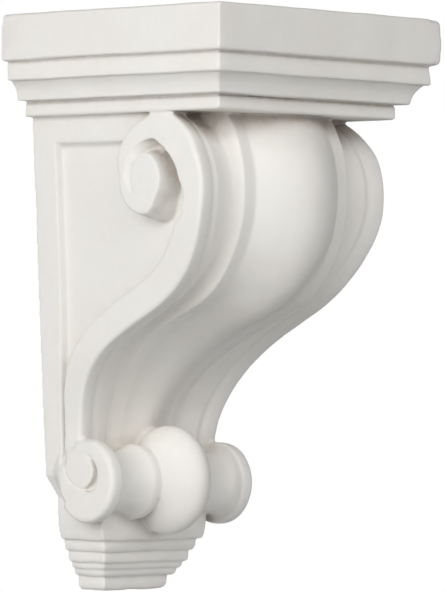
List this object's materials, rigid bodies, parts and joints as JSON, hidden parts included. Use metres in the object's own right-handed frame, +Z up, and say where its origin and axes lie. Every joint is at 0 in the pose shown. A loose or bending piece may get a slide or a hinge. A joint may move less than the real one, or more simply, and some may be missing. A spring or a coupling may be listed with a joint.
{
  "type": "scrolled corbel",
  "caption": "Wall corbel with a stepped square cap, an S-shaped scroll front with side volutes, a cross roll with a ball, and a stepped tapering drop.",
  "frame": {"origin": "on the flat back where it meets the wall, on the centre line, at half the height", "axes": "+Z up, +Y into the wall, the scroll's front faces -Y, +X to the right seen from the front"},
  "size_m": [0.1396, 0.1355, 0.254],
  "materials": {
    "primed_polyurethane": "factory primer, off-white, low sheen"
  },
  "bodies": {
    "root": {"corbel": "primed_polyurethane"}
  },
  "joints": []
}
